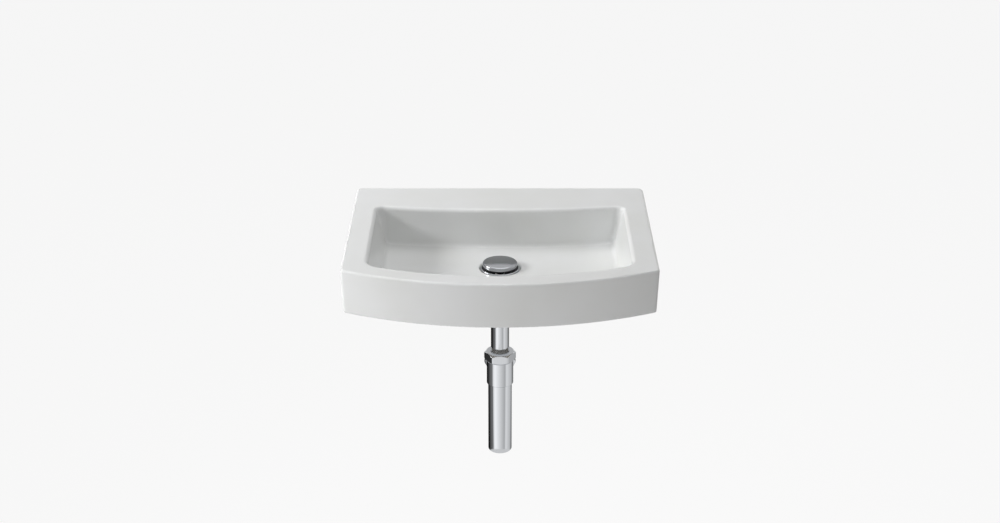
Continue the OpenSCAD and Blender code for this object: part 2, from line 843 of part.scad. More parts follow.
// Long thin cup with a rounded lower edge, open at the top
module trap_cup() {
    in_r = max(cup_edge_r - cup_wall, 0.3);
    base_z = cup_bottom_z + cup_base_t;
    color(chrome_metal)
    rotate_extrude($fn = fine)
        polygon(concat(
            [[0, cup_bottom_z]],
            arc([cup_r - cup_edge_r, cup_bottom_z + cup_edge_r], cup_edge_r, -90, 0, edge_steps),
            [[cup_r, cup_top_z], [cup_bore_r, cup_top_z]],
            arc([cup_bore_r - in_r, base_z + in_r], in_r, 0, -90, edge_steps),
            [[0, base_z]]
        ));
}

// Horizontal tube to the wall, with a turned mark where it enters the socket
module outlet_pipe() {
    color(chrome_metal)
    along_outlet(0)
    rotate_extrude($fn = fine)
        polygon([
            [tube_bore_r, pipe_start_y], [tube_r, pipe_start_y], [tube_r, wall_y - mark_w / 2],
            [tube_r - mark_depth, wall_y - mark_w / 2], [tube_r - mark_depth, wall_y + mark_w / 2],
            [tube_r, wall_y + mark_w / 2], [tube_r, pipe_end_y - pipe_chamfer],
            [tube_r - pipe_chamfer / 2, pipe_end_y], [tube_bore_r, pipe_end_y],
        ]);
}

// Domed cover on the wall around the pipe, hollow behind
module wall_rosette() {
    shell = 1.5;
    foot_w = 4;
    bore = tube_r + ring_gap;
    neck_w = 2;
    dome_w = rosette_r - 1 - bore - neck_w;
    inner_w = dome_w - foot_w + 1;
    color(chrome_metal)
    along_outlet(wall_y)
    rotate_extrude($fn = fine)
        polygon(concat(
            [[rosette_r, 0], [rosette_r, -shell]],
            [for (a = [0:15:90])
                [bore + neck_w + dome_w * cos(a), -shell - (rosette_h - shell) * sin(a)]],
            [[bore, -rosette_h], [bore, shell - rosette_h]],
            [for (a = [90:-15:0])
                [bore + neck_w + inner_w * cos(a), -shell - (rosette_h - 2 * shell) * sin(a)]],
            [[rosette_r - foot_w, 0]]
        ));
}

basin_body();
flange_seal();
waste_body();
underside_gasket();
slip_washer();
backnut();
plug_cap();
plug_seal();
plug_spindle();
cartridge_barrel();
cartridge_collar();
cartridge_rotor();
cartridge_spring();
union_washer();
union_nut();
inlet_tube();
head_nut();
head_slip_ring();
head_seal();
trap_head();
dip_tube();
cup_seal();
trap_cup();
outlet_nut();
outlet_slip_ring();
outlet_seal();
outlet_pipe();
wall_rosette();
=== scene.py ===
"""Looks of a white glazed countertop basin with a push-to-close waste and a slim bottle trap.

Sizes are in millimetres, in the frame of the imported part: the origin is on the drain axis, in the
plane that the foot of the basin stands on, +Z is up and +Y points to the rear wall.
"""

import logging
import math
from collections.abc import Iterable, Mapping, Sequence
from dataclasses import dataclass
from enum import Enum

import bmesh
import bpy
from bmesh.types import BMEdge, BMesh, BMFace, BMVert
from bpy.types import Material, Node, NodeSocket, NodeTree, Object
from mathutils import Matrix, Vector


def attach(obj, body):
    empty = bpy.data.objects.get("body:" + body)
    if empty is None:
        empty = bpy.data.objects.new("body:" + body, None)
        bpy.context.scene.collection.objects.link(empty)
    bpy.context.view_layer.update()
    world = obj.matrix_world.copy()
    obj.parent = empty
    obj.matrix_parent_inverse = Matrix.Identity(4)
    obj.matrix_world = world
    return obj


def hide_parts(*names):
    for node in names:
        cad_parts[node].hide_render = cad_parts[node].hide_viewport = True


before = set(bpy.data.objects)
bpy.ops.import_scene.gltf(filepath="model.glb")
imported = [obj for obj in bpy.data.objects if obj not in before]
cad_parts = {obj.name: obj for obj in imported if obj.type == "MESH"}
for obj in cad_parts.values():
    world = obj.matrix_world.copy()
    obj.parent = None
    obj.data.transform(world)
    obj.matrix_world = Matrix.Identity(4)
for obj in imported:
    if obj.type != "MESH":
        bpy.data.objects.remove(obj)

LOG = logging.getLogger("basin")
MM = 0.001
FIXED = "fixed"
PLUG = "plug"
# Points nearer than this, in millimetres, are one point.
SAME_MM = 1e-4
# Steps round a turned piece, and round one that is seen close up or large.
STEPS = 96
FINE_STEPS = 128
# A ring this many millimetres past a rounded edge keeps the flat next to it flat.
HOLD = 1.5

Point = tuple[float, float]
Inputs = dict[str, object]


def linear(hex_colour: str) -> tuple[float, float, float, float]:
    """Turns an sRGB hex value into the linear colour that a shader takes.

    Args:
        hex_colour: Six hex digits after a hash sign.

    Returns:
        Red, green, blue and an alpha of one.
    """
    channels = [int(hex_colour[k : k + 2], 16) / 255 for k in (1, 3, 5)]
    return (*(c / 12.92 if c <= 0.04045 else ((c + 0.055) / 1.055) ** 2.4 for c in channels), 1.0)


def per_metre(size_mm: float) -> float:
    """Gives the scale of a texture on Object coordinates whose features are size_mm across."""
    return 1.0 / (size_mm * MM)


def add(
    tree: NodeTree,
    kind: str,
    inputs: Mapping[str | int, object] | None = None,
    **settings: object,
) -> Node:
    """Adds one shader node with its settings, values and links.

    Args:
        tree: The node tree that gets the node.
        kind: The node's type name without its ShaderNode prefix, such as Bump.
        inputs: Values for its inputs, or the output sockets that feed them.
        **settings: Properties of the node itself.

    Returns:
        The new node.
    """
    node = tree.nodes.new("ShaderNode" + kind)
    for name, value in settings.items():
        setattr(node, name, value)
    for name, value in (inputs or {}).items():
        if isinstance(value, NodeSocket):
            tree.links.new(value, node.inputs[name])
        else:
            node.inputs[name].default_value = value
    return node


def node_material(name: str) -> Material:
    """Makes a material whose node tree is still empty.

    Args:
        name: The material's name.

    Returns:
        The new material.
    """
    made = bpy.data.materials.new(name)
    made.use_nodes = True
    made.node_tree.nodes.clear()
    return made


def patchy(
    tree: NodeTree,
    place: NodeSocket,
    patch_mm: float,
    window: Point,
    tones: tuple[str, str],
    gloss: Point,
    **noise: float,
) -> Inputs:
    """Blends two tones, and two roughnesses with them, over soft patches.

    Args:
        tree: The material's node tree.
        place: Object coordinates, in metres.
        patch_mm: How wide a patch is.
        window: The values of the noise between which the blend runs.
        tones: The colours at its start and end.
        gloss: The roughnesses at its start and end.
        **noise: Further inputs of the noise.

    Returns:
        The shader's inputs for colour and roughness.
    """
    patch = {"Vector": place, "Scale": per_metre(patch_mm), **noise}
    value = add(tree, "TexNoise", patch).outputs["Fac"]
    ends = {"Value": value, "From Min": window[0], "From Max": window[1]}
    share = add(tree, "MapRange", ends).outputs[0]
    tone = {0: share, 6: linear(tones[0]), 7: linear(tones[1])}
    rough = {**ends, "To Min": gloss[0], "To Max": gloss[1]}
    return {
        "Base Color": add(tree, "Mix", tone, data_type="RGBA").outputs[2],
        "Roughness": add(tree, "MapRange", rough).outputs[0],
    }


def relief(
    tree: NodeTree,
    place: NodeSocket,
    grain_mm: float,
    depth_mm: float,
    detail: float,
    **under: NodeSocket,
) -> NodeSocket:
    """Gives a surface a shallow uneven relief.

    Args:
        tree: The material's node tree.
        place: Object coordinates, in metres.
        grain_mm: How wide its bumps are.
        depth_mm: How deep they are.
        detail: How much finer grain they carry.
        **under: The Normal that it lies on, if that isn't the plain surface's.

    Returns:
        The normal.
    """
    grain = {"Vector": place, "Scale": per_metre(grain_mm), "Detail": detail}
    height = add(tree, "TexNoise", grain).outputs["Fac"]
    bump = {"Height": height, "Distance": depth_mm * MM, "Strength": 1.0, **under}
    return add(tree, "Bump", bump).outputs["Normal"]


class Finish:
    """A finish of one real material, made once and shared by the pieces that have it."""

    name: str
    slot: str

    def surface(self, tree: NodeTree, place: NodeSocket) -> Inputs:
        """Builds what feeds the shader.

        Args:
            tree: The material's node tree.
            place: Object coordinates, in metres.

        Returns:
            The inputs of the Principled shader.
        """
        raise NotImplementedError

    def material(self) -> Material:
        """Gives the material of this finish, and makes it at the first call.

        Returns:
            The material, which all pieces of this finish share.
        """
        made = bpy.data.materials.get(self.name)
        if made is None:
            made = node_material(self.name)
            tree = made.node_tree
            place = add(tree, "TexCoord").outputs["Object"]
            shader = add(tree, "BsdfPrincipled", self.surface(tree, place))
            add(tree, "OutputMaterial", {"Surface": shader.outputs[0]})
        return made


@dataclass(frozen=True)
class FiredGlaze(Finish):
    """Vitreous china glaze, sprayed on and fired: a clear glassy layer over a white body.

    The eye sees a clean white with sharp highlights that wander a little, because a fired glaze
    settles in long shallow waves and a faint orange peel, and it is a touch creamier where it has
    run thin.
    """

    name: str = "fired_white_glaze"
    slot: str = "glazed_china"
    white: str = "#f1f2f2"
    thin: str = "#ecedeb"
    smooth: float = 0.06
    hazy: float = 0.11
    ior: float = 1.52
    drift_mm: float = 120.0
    wave_mm: float = 30.0
    wave_depth_mm: float = 0.03
    peel_mm: float = 3.0
    peel_depth_mm: float = 0.001

    def surface(self, tree: NodeTree, place: NodeSocket) -> Inputs:
        """Builds the glaze: drift of its tone and gloss, long waves and orange peel.

        Args:
            tree: The material's node tree.
            place: Object coordinates, in metres.

        Returns:
            The inputs of the Principled shader.
        """
        tones, gloss = (self.white, self.thin), (self.smooth, self.hazy)
        settled = relief(tree, place, self.wave_mm, self.wave_depth_mm, 0.0)
        return {
            **patchy(tree, place, self.drift_mm, (0.35, 0.75), tones, gloss),
            "IOR": self.ior,
            "Normal": relief(tree, place, self.peel_mm, self.peel_depth_mm, 1.0, Normal=settled),
        }


@dataclass(frozen=True)
class BareChina(Finish):
    """Unglazed vitreous china, slip-cast and fired: chalky, off-white and finely grained.

    The underside catches dust from the glaze spray, which shows as paler, smoother patches.
    """

    name: str = "bare_fired_china"
    slot: str = "glazed_china"
    body: str = "#ddd8cd"
    dusted: str = "#e6e3dc"
    chalky: float = 0.85
    smoothed: float = 0.55
    patch_mm: float = 45.0
    grain_mm: float = 0.9
    grain_depth_mm: float = 0.012

    def surface(self, tree: NodeTree, place: NodeSocket) -> Inputs:
        """Builds the bare body with its glaze dust and a sandy grain.

        Args:
            tree: The material's node tree.
            place: Object coordinates, in metres.

        Returns:
            The inputs of the Principled shader.
        """
        tones, gloss = (self.body, self.dusted), (self.chalky, self.smoothed)
        return {
            **patchy(tree, place, self.patch_mm, (0.42, 0.62), tones, gloss, Detail=4.0),
            "Normal": relief(tree, place, self.grain_mm, self.grain_depth_mm, 4.0),
        }


@dataclass(frozen=True)
class PolishedChrome(Finish):
    """Bright chrome plate on buffed brass: a cool mirror with faint buffing haze and waviness.

    Polished chromium sends back about half of the light, so it looks a little darker than what it
    mirrors. Its hairlines are 0.8 mm apart, coarser than real polishing marks, so that they show.
    """

    name: str = "polished_chrome_plate"
    slot: str = "chromed_brass"
    metal: str = "#c6c8cb"
    smooth: float = 0.03
    dull: float = 0.09
    haze_mm: float = 18.0
    hairline_mm: float = 0.8
    hairline_depth_mm: float = 0.0004
    grain: tuple[float, float, float] = (1.0, 1.0, 0.06)
    wave_mm: float = 9.0
    wave_depth_mm: float = 0.004

    def surface(self, tree: NodeTree, place: NodeSocket) -> Inputs:
        """Builds the mirror with haze patches, hairlines and a slight buffing wave.

        Args:
            tree: The material's node tree.
            place: Object coordinates, in metres.

        Returns:
            The inputs of the Principled shader.
        """
        patch = {"Vector": place, "Scale": per_metre(self.haze_mm), "Detail": 4.0}
        haze = add(tree, "TexNoise", patch).outputs["Fac"]
        ends = {"Value": haze, "From Min": 0.4, "From Max": 0.75}
        rough = {**ends, "To Min": self.smooth, "To Max": self.dull}
        along = add(tree, "Mapping", {"Vector": place, "Scale": self.grain}).outputs["Vector"]
        buffed = relief(tree, place, self.wave_mm, self.wave_depth_mm, 0.0)
        lines = relief(tree, along, self.hairline_mm, self.hairline_depth_mm, 2.0, Normal=buffed)
        return {
            "Base Color": linear(self.metal),
            "Metallic": 1.0,
            "Roughness": add(tree, "MapRange", rough).outputs[0],
            "Normal": lines,
        }


@dataclass(frozen=True)
class TurnedBrass(Finish):
    """Bare brass turned on a lathe: fine tool rings round the axis and a slightly dulled yellow.

    The rings are drawn 0.7 mm apart, coarser than a real feed of 0.2 mm, so that they show.
    """

    name: str = "turned_bare_brass"
    slot: str = "raw_brass"
    bright: str = "#c6a253"
    tarnished: str = "#9d7c3e"
    cut: float = 0.24
    dull: float = 0.4
    ring_mm: float = 0.7
    ring_depth_mm: float = 0.012
    patch_mm: float = 9.0

    def surface(self, tree: NodeTree, place: NodeSocket) -> Inputs:
        """Builds the brass with its tool rings and tarnish.

        Args:
            tree: The material's node tree.
            place: Object coordinates, in metres.

        Returns:
            The inputs of the Principled shader.
        """
        # A wave texture of scale 1 repeats every pi / 10 m.
        across = per_metre(self.ring_mm) * math.pi / 10.0
        turned_rings = {"Vector": place, "Scale": across, "Distortion": 0.2}
        rings = add(tree, "TexWave", turned_rings, bands_direction="Z").outputs["Fac"]
        bump = {"Height": rings, "Distance": self.ring_depth_mm * MM, "Strength": 1.0}
        tones, gloss = (self.bright, self.tarnished), (self.cut, self.dull)
        return {
            **patchy(tree, place, self.patch_mm, (0.4, 0.7), tones, gloss, Detail=3.0),
            "Metallic": 1.0,
            "Normal": add(tree, "Bump", bump).outputs["Normal"],
        }


@dataclass(frozen=True)
class MouldedRubber(Finish):
    """Moulded black EPDM rubber: matt, with a faint grey bloom on the surface."""

    name: str = "moulded_black_rubber"
    slot: str = "seal_rubber"
    black: str = "#161618"
    bloom: str = "#262629"
    skin: float = 0.55
    matt: float = 0.78
    ior: float = 1.52
    bloom_mm: float = 7.0
    grain_mm: float = 0.7
    grain_depth_mm: float = 0.012

    def surface(self, tree: NodeTree, place: NodeSocket) -> Inputs:
        """Builds the rubber with its bloom and the fine grain of its mould.

        Args:
            tree: The material's node tree.
            place: Object coordinates, in metres.

        Returns:
            The inputs of the Principled shader.
        """
        tones, gloss = (self.black, self.bloom), (self.skin, self.matt)
        return {
            **patchy(tree, place, self.bloom_mm, (0.4, 0.8), tones, gloss, Detail=4.0),
            "IOR": self.ior,
            "Normal": relief(tree, place, self.grain_mm, self.grain_depth_mm, 2.0),
        }


@dataclass(frozen=True)
class MouldedAcetal(Finish):
    """Injection-moulded white acetal: milky, with a satin skin and slight flow marks."""

    name: str = "moulded_white_acetal"
    slot: str = "white_plastic"
    milky: str = "#ecebe5"
    flowed: str = "#dddbd3"
    satin: float = 0.34
    dull: float = 0.46
    ior: float = 1.48
    flow_mm: float = 14.0
    grain_mm: float = 0.5
    grain_depth_mm: float = 0.004

    def surface(self, tree: NodeTree, place: NodeSocket) -> Inputs:
        """Builds the plastic with its flow marks and satin grain.

        Args:
            tree: The material's node tree.
            place: Object coordinates, in metres.

        Returns:
            The inputs of the Principled shader.
        """
        swirl = {"Vector": place, "Scale": per_metre(self.flow_mm), "Distortion": 0.6}
        flow = add(tree, "TexNoise", swirl).outputs["Fac"]
        tone = {0: flow, 6: linear(self.milky), 7: linear(self.flowed)}
        ends = {"Value": flow, "From Min": 0.3, "From Max": 0.7}
        rough = {**ends, "To Min": self.satin, "To Max": self.dull}
        return {
            "Base Color": add(tree, "Mix", tone, data_type="RGBA").outputs[2],
            "Roughness": add(tree, "MapRange", rough).outputs[0],
            "IOR": self.ior,
            "Normal": relief(tree, place, self.grain_mm, self.grain_depth_mm, 2.0),
        }


@dataclass(frozen=True)
class DrawnSteel(Finish):
    """Drawn stainless spring wire: grey, half bright, with the dulling of its coiling oil."""

    name: str = "drawn_stainless_wire"
    slot: str = "spring_steel"
    metal: str = "#9fa1a4"
    bright: float = 0.22
    oiled: float = 0.38
    patch_mm: float = 1.5
    pit_mm: float = 0.003

    def surface(self, tree: NodeTree, place: NodeSocket) -> Inputs:
        """Builds the wire's metal with small dull patches.

        Args:
            tree: The material's node tree.
            place: Object coordinates, in metres.

        Returns:
            The inputs of the Principled shader.
        """
        patch = {"Vector": place, "Scale": per_metre(self.patch_mm)}
        oil = add(tree, "TexNoise", patch).outputs["Fac"]
        ends = {"Value": oil, "From Min": 0.3, "From Max": 0.7}
        rough = {**ends, "To Min": self.bright, "To Max": self.oiled}
        bump = {"Height": oil, "Distance": self.pit_mm * MM, "Strength": 1.0}
        return {
            "Base Color": linear(self.metal),
            "Metallic": 1.0,
            "Roughness": add(tree, "MapRange", rough).outputs[0],
            "Normal": add(tree, "Bump", bump).outputs["Normal"],
        }


GLAZE = FiredGlaze()
BARE = BareChina()
CHROME = PolishedChrome()
# The outlet pipe is polished along its own length, so its hairlines lie level.
PIPE_CHROME = PolishedChrome(name="chrome_plate_on_level_pipe", grain=(1.0, 0.06, 1.0))
# The plug's chrome is greyer than the turned fittings', which darkens all that its top mirrors:
# painted shade on the plug's top.
DARKENED_PLUG_CHROME = PolishedChrome(name="chrome_darkened_for_plug_top_shade", metal="#989a9d")
# Within the dish's edge the waste's chrome is rougher and dark grey: the dark tone is painted shade
# for the dish and funnel under the plug.
SHADED_DISH_CHROME = PolishedChrome(
    name="chrome_darkened_as_dish_shade", metal="#505153", smooth=0.35, dull=0.55
)
BRASS = TurnedBrass()
# The spindle stands in waste water, which browns its brass; the tone near to black is painted shade
# for the dark drain it is seen in.
BROWNED_SHADED_BRASS = TurnedBrass(name="browned_brass_with_drain_shade", bright="#3d3422", tarnished="#241f17")
RUBBER = MouldedRubber()
ACETAL = MouldedAcetal()
SPRING_WIRE = DrawnSteel()


class Axis(Enum):
    """Where a piece of revolution points: up, or back to the wall along the outlet."""

    UP = 0.0
    OUTLET = -90.0


@dataclass(frozen=True)
class Seat:
    """A place that pieces are turned about: a height or depth on the drain or outlet axis."""

    axis: Axis = Axis.UP
    at: tuple[float, float, float] = (0.0, 0.0, 0.0)

    def matrix(self) -> Matrix:
        """Gives the transform from the piece's own axis to its place, in millimetres."""
        return Matrix.Translation(self.at) @ Matrix.Rotation(math.radians(self.axis.value), 4, "X")


def linked(name: str, data: bpy.types.ID) -> Object:
    """Makes an object of its data and puts it into the scene.

    Args:
        name: The object's name.
        data: Its mesh, lamp or camera data.

    Returns:
        The new object.
    """
    made = bpy.data.objects.new(name, data)
    bpy.context.scene.collection.objects.link(made)
    return made


def drawn(name: str, bm: BMesh) -> Object:
    """Makes an object of a mesh that is drawn in metres, and frees the bmesh.

    Args:
        name: The name of the object and of its mesh.
        bm: The mesh.

    Returns:
        The new object.
    """
    mesh = bpy.data.meshes.new(name)
    bm.to_mesh(mesh)
    bm.free()
    return linked(name, mesh)


def settle(
    name: str,
    bm: BMesh,
    finishes: Sequence[Finish],
    body: str = FIXED,
    replaces: Sequence[str] = (),
    seat: Seat | None = None,
    crease: float = 35.0,
) -> Object:
    """Makes a finished piece of a mesh that is drawn in millimetres, and frees the bmesh.

    Args:
        name: The piece's name.
        bm: The mesh.
        finishes: Its finishes, in the order of its faces' material numbers.
        body: The body of the part that it moves with.
        replaces: The nodes of the part that it stands for.
        seat: Where it sits, if it was drawn about its own axis.
        crease: Edges sharper than this many degrees are drawn sharp.

    Returns:
        The new object, at the origin and unscaled.
    """
    place = seat.matrix() if seat else Matrix.Identity(4)
    bmesh.ops.transform(bm, matrix=Matrix.Scale(MM, 4) @ place, verts=bm.verts)
    piece = drawn(name, bm)
    piece.data.shade_smooth()
    piece.data.set_sharp_from_angle(angle=math.radians(crease))
    for finish in finishes:
        piece.data.materials.append(finish.material())
    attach(piece, body)
    if replaces:
        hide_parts(*replaces)
    LOG.info("%s: %d faces, rides on %s", name, len(piece.data.polygons), body)
    return piece


def dress(node: str, finish: Finish) -> None:
    """Gives a node of the part, whose shape stays, its finish.

    Args:
        node: The node's name.
        finish: The finish that it gets.
    """
    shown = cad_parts[node]
    shown.data.materials.clear()
    shown.data.materials.append(finish.material())
    LOG.info("%s: keeps its shape, gets %s", node, finish.name)


class Loft:
    """A surface drawn ring by ring: a circle of edges is extruded, each new ring is laid out."""

    def __init__(self, points: Sequence[Vector]) -> None:
        """Starts the surface with its first ring.

        Args:
            points: Where the ring's vertices go, in order.
        """
        self.bm = bmesh.new()
        made = bmesh.ops.create_circle(self.bm, segments=len(points), radius=1.0, cap_ends=False)
        self.first = self.ring = list(made["verts"])
        self.lay(points)

    def lay(self, points: Sequence[Vector]) -> None:
        """Moves the open ring's vertices to these points."""
        for vert, point in zip(self.ring, points, strict=True):
            vert.co = point

    def edges(self, ring: Sequence[BMVert]) -> list[BMEdge]:
        """Gives the edges that run round a ring."""
        return [self.bm.edges.get((a, b)) for a, b in zip(ring, [*ring[1:], ring[0]], strict=True)]

    def to(self, points: Sequence[Vector], finish: int = 0) -> None:
        """Extrudes the open ring and lays the new one out.

        Args:
            points: Where the new ring's vertices go, in order.
            finish: The material number of the faces in between.
        """
        made = bmesh.ops.extrude_edge_only(self.bm, edges=self.edges(self.ring))["geom"]
        fresh = {v for v in made if isinstance(v, BMVert)}
        for face in (f for f in made if isinstance(f, BMFace)):
            face.material_index = finish
        self.ring = [
            next(e.other_vert(v) for e in v.link_edges if e.other_vert(v) in fresh)
            for v in self.ring
        ]
        self.lay(points)

    def close(self, finish: int = 0) -> BMesh:
        """Joins the open ring to the first one.

        Args:
            finish: The material number of the faces in between.

        Returns:
            The closed mesh, with its faces outwards.
        """
        loops = self.edges(self.ring) + self.edges(self.first)
        for face in bmesh.ops.bridge_loops(self.bm, edges=loops)["faces"]:
            face.material_index = finish
        bmesh.ops.recalc_face_normals(self.bm, faces=self.bm.faces)
        return self.bm


def turned(
    profile: Sequence[Point],
    round_mm: float = 0.25,
    segments: int = STEPS,
) -> BMesh:
    """Turns a closed profile about +Z, and rounds the edges that a lathe would break.

    Args:
        profile: Radius and height of each corner. Corners on the axis close the shape.
        round_mm: How wide the edges are rounded, none at 0.
        segments: Steps round the full turn.

    Returns:
        The closed mesh, in millimetres.
    """
    bm = bmesh.new()
    corners = [bm.verts.new((r, 0.0, z)) for r, z in profile]
    pairs = zip(corners, [*corners[1:], corners[0]], strict=True)
    on_axis = [r < SAME_MM for r, _ in profile]
    ring = zip(pairs, on_axis, [*on_axis[1:], on_axis[0]], strict=True)
    sides = [bm.edges.new(pair) for pair, a, b in ring if not (a and b)]
    bmesh.ops.spin(
        bm, geom=corners + sides, cent=(0, 0, 0), axis=(0, 0, 1), dvec=(0, 0, 0),
        angle=math.tau, steps=segments, use_merge=True, use_duplicate=False,
    )
    bmesh.ops.remove_doubles(bm, verts=bm.verts, dist=SAME_MM)
    bmesh.ops.recalc_face_normals(bm, faces=bm.faces)
    if round_mm:
        broken = math.radians(24)
        sharp = [e for e in bm.edges if e.is_manifold and e.calc_face_angle(0.0) > broken]
        bmesh.ops.bevel(
            bm, geom=sharp, offset=round_mm, offset_type="OFFSET", segments=2, profile=0.5,
            affect="EDGES", material=-1, clamp_overlap=True,
        )
    return bm


def arc(centre: Point, radius: float, start: float, end: float, steps: int) -> list[Point]:
    """Gives the points of an arc, both ends among them.

    Args:
        centre: The arc's centre.
        radius: Its radius.
        start: The angle of its first point, in degrees.
        end: The angle of its last point, in degrees.
        steps: How many segments it has.

    Returns:
        The points, in order.
    """
    angles = (math.radians(start + (end - start) * k / steps) for k in range(steps + 1))
    return [(centre[0] + radius * math.cos(a), centre[1] + radius * math.sin(a)) for a in angles]


def quarter(steps: int) -> list[Point]:
    """Gives the cosine and the sine of angles from 0 to 90 degrees, in equal steps."""
    return arc((0.0, 0.0), 1.0, 0, 90, steps)


@dataclass(frozen=True)
class Plan:
    """An outline seen from above: straight sides, a bowed front and four round corners.

    Its rear lies where the sides would meet it, and comes forward by rear_bow in the middle,
    and its rear corners run smoothly into that curve.
    """

    half_width: float
    rear: float
    front: float
    bow: float
    rear_corner: float
    front_corner: float
    rear_bow: float = 0.0

    def points(self) -> list[Point]:
        """Works out the right half of the outline and mirrors it.

        Returns:
            The outline's points, clockwise from the middle of the rear edge.
        """
        rear_steps, corner_steps, side_steps, front_steps = 22, 9, 22, 36
        rr, rf, hw = self.rear_corner, self.front_corner, self.half_width
        centre = self.front + self.bow
        fx, rx = hw - rf, hw - rr
        fy = centre - math.sqrt((self.bow - rf) ** 2 - fx * fx)
        tilt = math.degrees(math.atan2(fy - centre, fx))
        turn = math.atan(2 * self.rear_bow * rx / (hw * hw))
        end = rx - rr * math.sin(turn)
        right = [
            (x, self.rear - self.rear_bow * (1 - (x / hw) ** 2))
            for x in (end * k / rear_steps for k in range(rear_steps + 1))
        ]
        top = right[-1][1] - rr * math.cos(turn)
        right += arc((rx, top), rr, 90 + math.degrees(turn), 0, corner_steps)[1:-1]
        right += [(hw, top + (fy - top) * k / side_steps) for k in range(side_steps)]
        right += arc((fx, fy), rf, 0, tilt, corner_steps)[:-1]
        right += arc((0.0, centre), self.bow, tilt, -90, front_steps)
        left = [(-x, y) for x, y in reversed(right[1:-1])]
        return right + left

    def ring(self, z: float) -> list[Vector]:
        """Gives the outline's points at one height."""
        return [Vector((x, y, z)) for x, y in self.points()]


@dataclass
class Basin:
    """The vitreous china basin: skirt, rim, bowl, drain recess and hollow underside."""

    width: float = 520.0
    depth: float = 440.0
    height: float = 78.0
    front_radius: float = 590.0
    rear_corner: float = 12.0
    front_corner: float = 8.0
    side_draft: float = 2.5
    front_draft: float = 5.0
    rim_edge: float = 4.0
    foot_edge: float = 2.0
    side_rim: float = 41.0
    rear_ledge: float = 94.0
    front_rim: float = 39.0
    bowl_radius: float = 560.0
    rear_bow: float = 18.0
    bowl_rear_corner: float = 12.0
    corner_taper: float = 5.0
    bowl_front_corner: float = 30.0
    bowl_edge: float = 7.0
    side_lean: float = 17.0
    rear_lean: float = 3.0
    front_lean: float = 10.0
    floor: float = 9.0
    fall: float = 1.5
    fillet: float = 7.0
    skirt: float = 9.0
    rim: float = 10.0
    bowl_wall: float = 8.0
    belly_gap: float = 1.0
    hollow_corner: float = 6.0
    rear: float = 205.0
    hole: float = 23.0
    recess: float = 35.5
    recess_seat: float = -0.5
    boss: float = 42.0
    boss_drop: float = 12.0
    flare: float = 2.5
    lip_rise: float = 0.3

    @property
    def lip_height(self) -> float:
        """Gives the height at which the bowl's floor turns down into the recess."""
        return self.floor - self.fall + self.lip_rise

    def skirt_ring(self, z: float, inset: float) -> list[Vector]:
        """Gives the outline of the skirt at a height.

        Args:
            z: The height.
            inset: How far the outline is drawn in all round.

        Returns:
            The ring's points.
        """
        t = 1 - z / self.height
        side, front = inset + self.side_draft * t, inset + self.front_draft * t
        plan = Plan(
            half_width=self.width / 2 - side,
            rear=self.rear - side,
            front=self.rear - self.depth + front,
            bow=self.front_radius - front,
            rear_corner=max(self.rear_corner - inset, 1.0),
            front_corner=max(self.front_corner - inset, 1.0),
        )
        return plan.ring(z)

    def bowl_ring(self, z: float, inset: float, lift: float = 0.0) -> list[Vector]:
        """Gives the outline of the bowl's wall at a height.

        Args:
            z: The height.
            inset: How far the outline is drawn in all round.
            lift: How far above that height the ring is laid.

        Returns:
            The ring's points.
        """
        t = min((self.height - z) / (self.height - self.floor), 1.0)
        plan = Plan(
            half_width=self.width / 2 - self.side_rim - self.side_lean * t - inset,
            rear=self.rear - self.rear_ledge - self.rear_lean * t - inset,
            front=self.rear - self.depth + self.front_rim + self.front_lean * t + inset,
            bow=self.bowl_radius - self.front_lean * t - inset,
            rear_corner=max(self.bowl_rear_corner - self.corner_taper * t - inset, 1.0),
            front_corner=max(self.bowl_front_corner - inset, 1.0),
            rear_bow=self.rear_bow,
        )
        return plan.ring(z + lift)

    def circle(self, radius: float, z: float) -> list[Vector]:
        """Gives a circle about the drain, whose points lie in line with the bowl floor's."""
        up = Vector((0.0, 0.0, z))
        return [p.xy.normalized().to_3d() * radius + up for p in self.floor_edge()]

    def floor_edge(self) -> list[Vector]:
        """Gives the edge of the bowl's floor, where its fillet ends."""
        return self.bowl_ring(self.floor, self.fillet)

    def outside(self) -> Iterable[list[Vector]]:
        """Goes from the edge of the foot up the skirt and over the rim to the bowl.

        Returns:
            The surface's rings, in that order.
        """
        for c, s in quarter(6):
            z = self.foot_edge * (1 - c)
            yield self.skirt_ring(z, self.foot_edge * (1 - s))
        top = self.height - self.rim_edge
        for z in (5.0, 20.0, 40.0, 60.0, top - HOLD):
            yield self.skirt_ring(z, 0.0)
        for c, s in quarter(8):
            z = top + self.rim_edge * s
            yield self.skirt_ring(z, self.rim_edge * (1 - c))
        yield self.skirt_ring(self.height, self.rim_edge + HOLD)

    def inside(self) -> Iterable[list[Vector]]:
        """Goes from the rim down the bowl and over its floor to the drain.

        Returns:
            The surface's rings, in that order.
        """
        edge_z = self.height - self.bowl_edge
        yield self.bowl_ring(edge_z, -self.bowl_edge - HOLD, self.bowl_edge)
        for c, s in reversed(quarter(8)):
            yield self.bowl_ring(edge_z, -self.bowl_edge * (1 - c), self.bowl_edge * s)
        foot = self.floor + self.fillet
        for z in (edge_z - HOLD, 60.0, 48.0, 36.0, foot + 2.0):
            yield self.bowl_ring(z, 0.0)
        for c, s in reversed(quarter(10)):
            z = self.floor + self.fillet * (1 - c)
            yield self.bowl_ring(z, self.fillet * (1 - s))
        edge = self.floor_edge()
        lip = self.circle(self.recess + self.flare, self.lip_height)
        for t in (0.02, 0.12, 0.25, 0.4, 0.55, 0.7, 0.82, 0.92, 0.98):
            yield [a.lerp(b, t) for a, b in zip(edge, lip, strict=True)]

